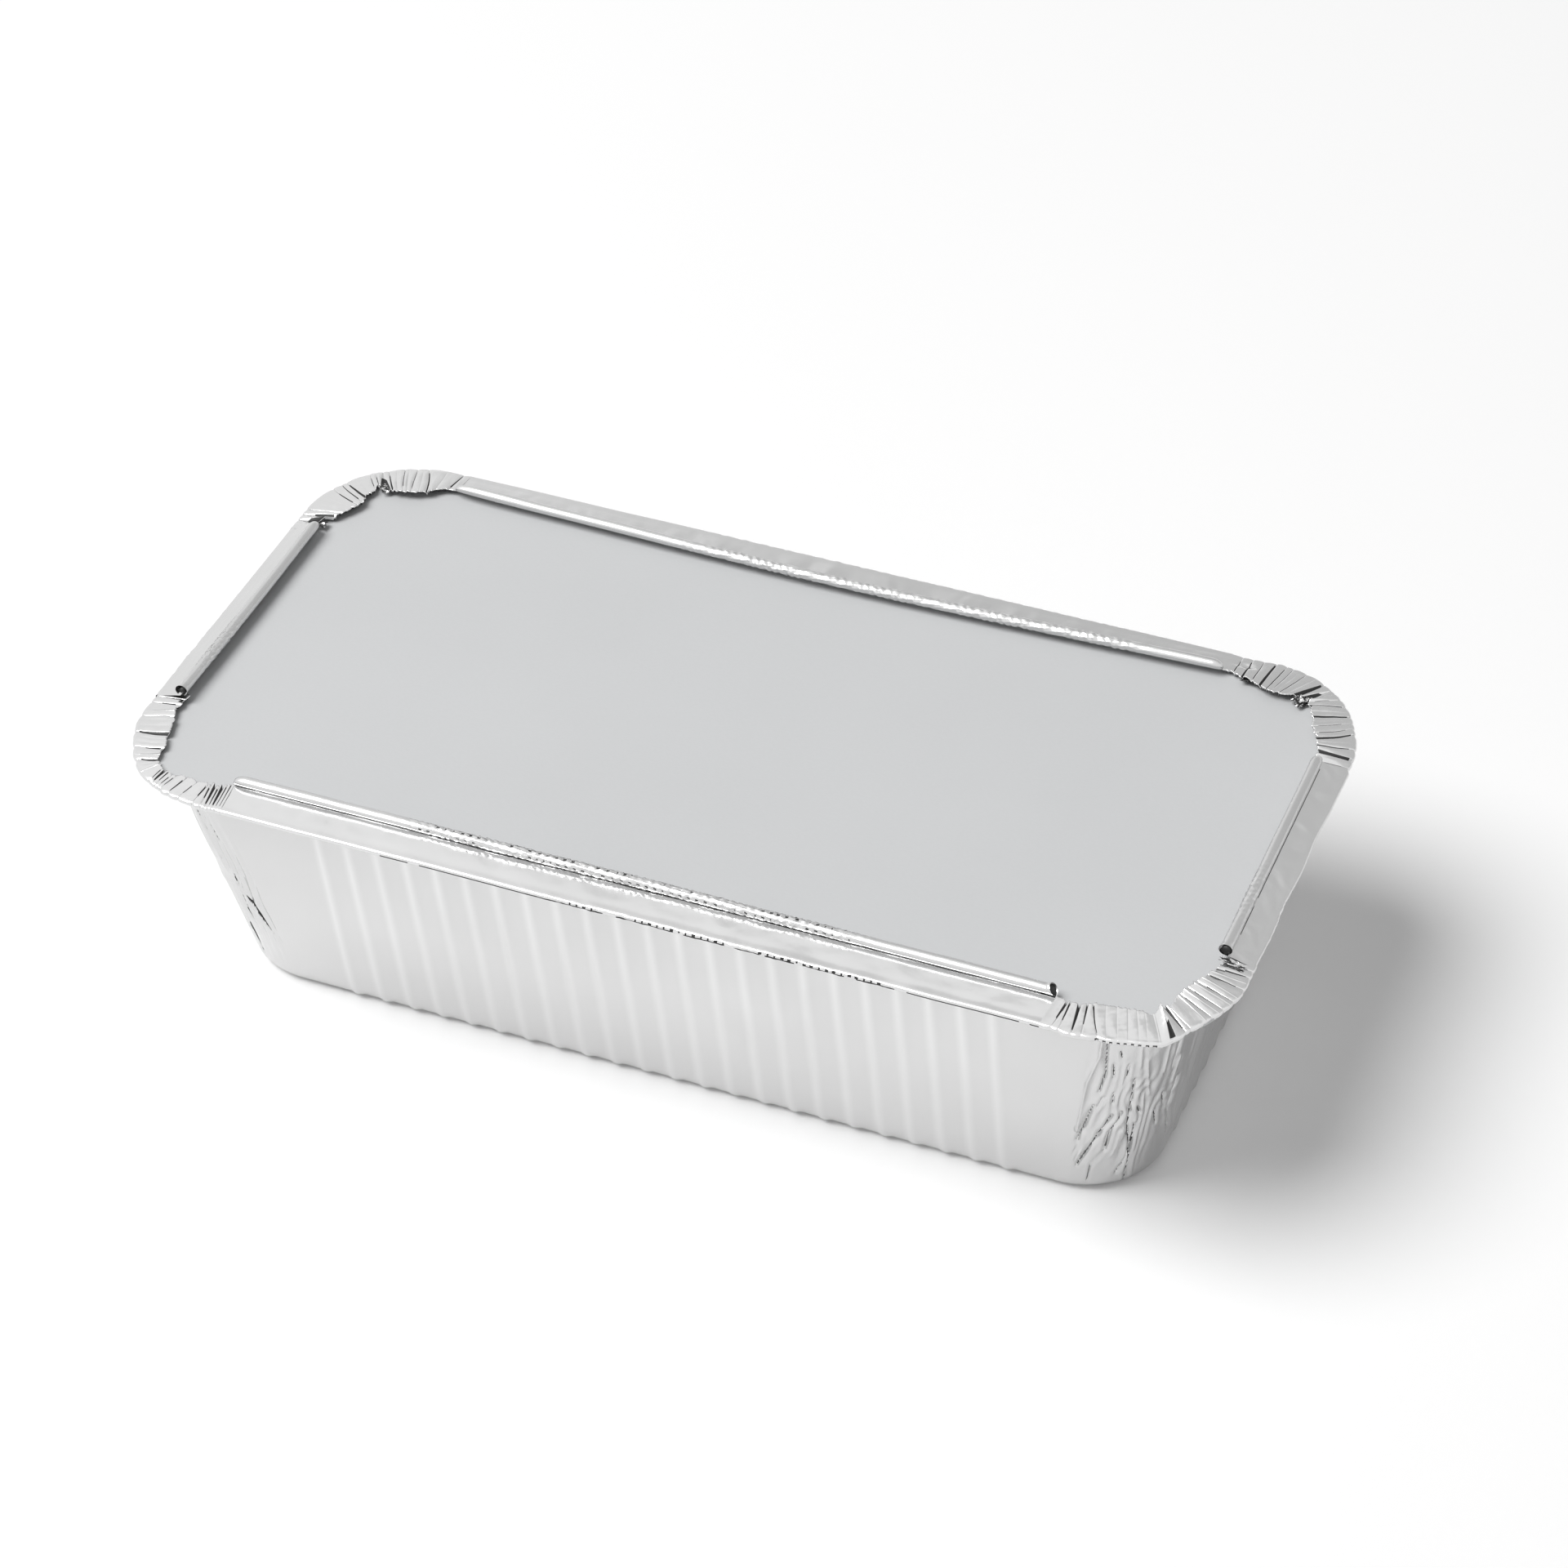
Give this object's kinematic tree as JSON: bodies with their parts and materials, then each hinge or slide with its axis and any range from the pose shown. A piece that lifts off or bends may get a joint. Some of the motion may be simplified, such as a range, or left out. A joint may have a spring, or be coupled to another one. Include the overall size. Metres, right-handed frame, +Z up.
{
  "type": "foil food container",
  "caption": "Long aluminium foil food container with ribbed leaning walls and a flat board lid held under its folded, rolled and pleated rim.",
  "frame": {"origin": "on the table under the middle of the base", "axes": "+X along the long sides, +Y across, +Z up; the wall in the foreground of the picture faces -Y"},
  "size_m": [0.2, 0.1054, 0.0544],
  "materials": {
    "foil": "thin bright foil, pressed and creased",
    "board": "matt pale grey face"
  },
  "bodies": {
    "root": {"foil_tray": "foil", "board_lid": "board"}
  },
  "joints": []
}
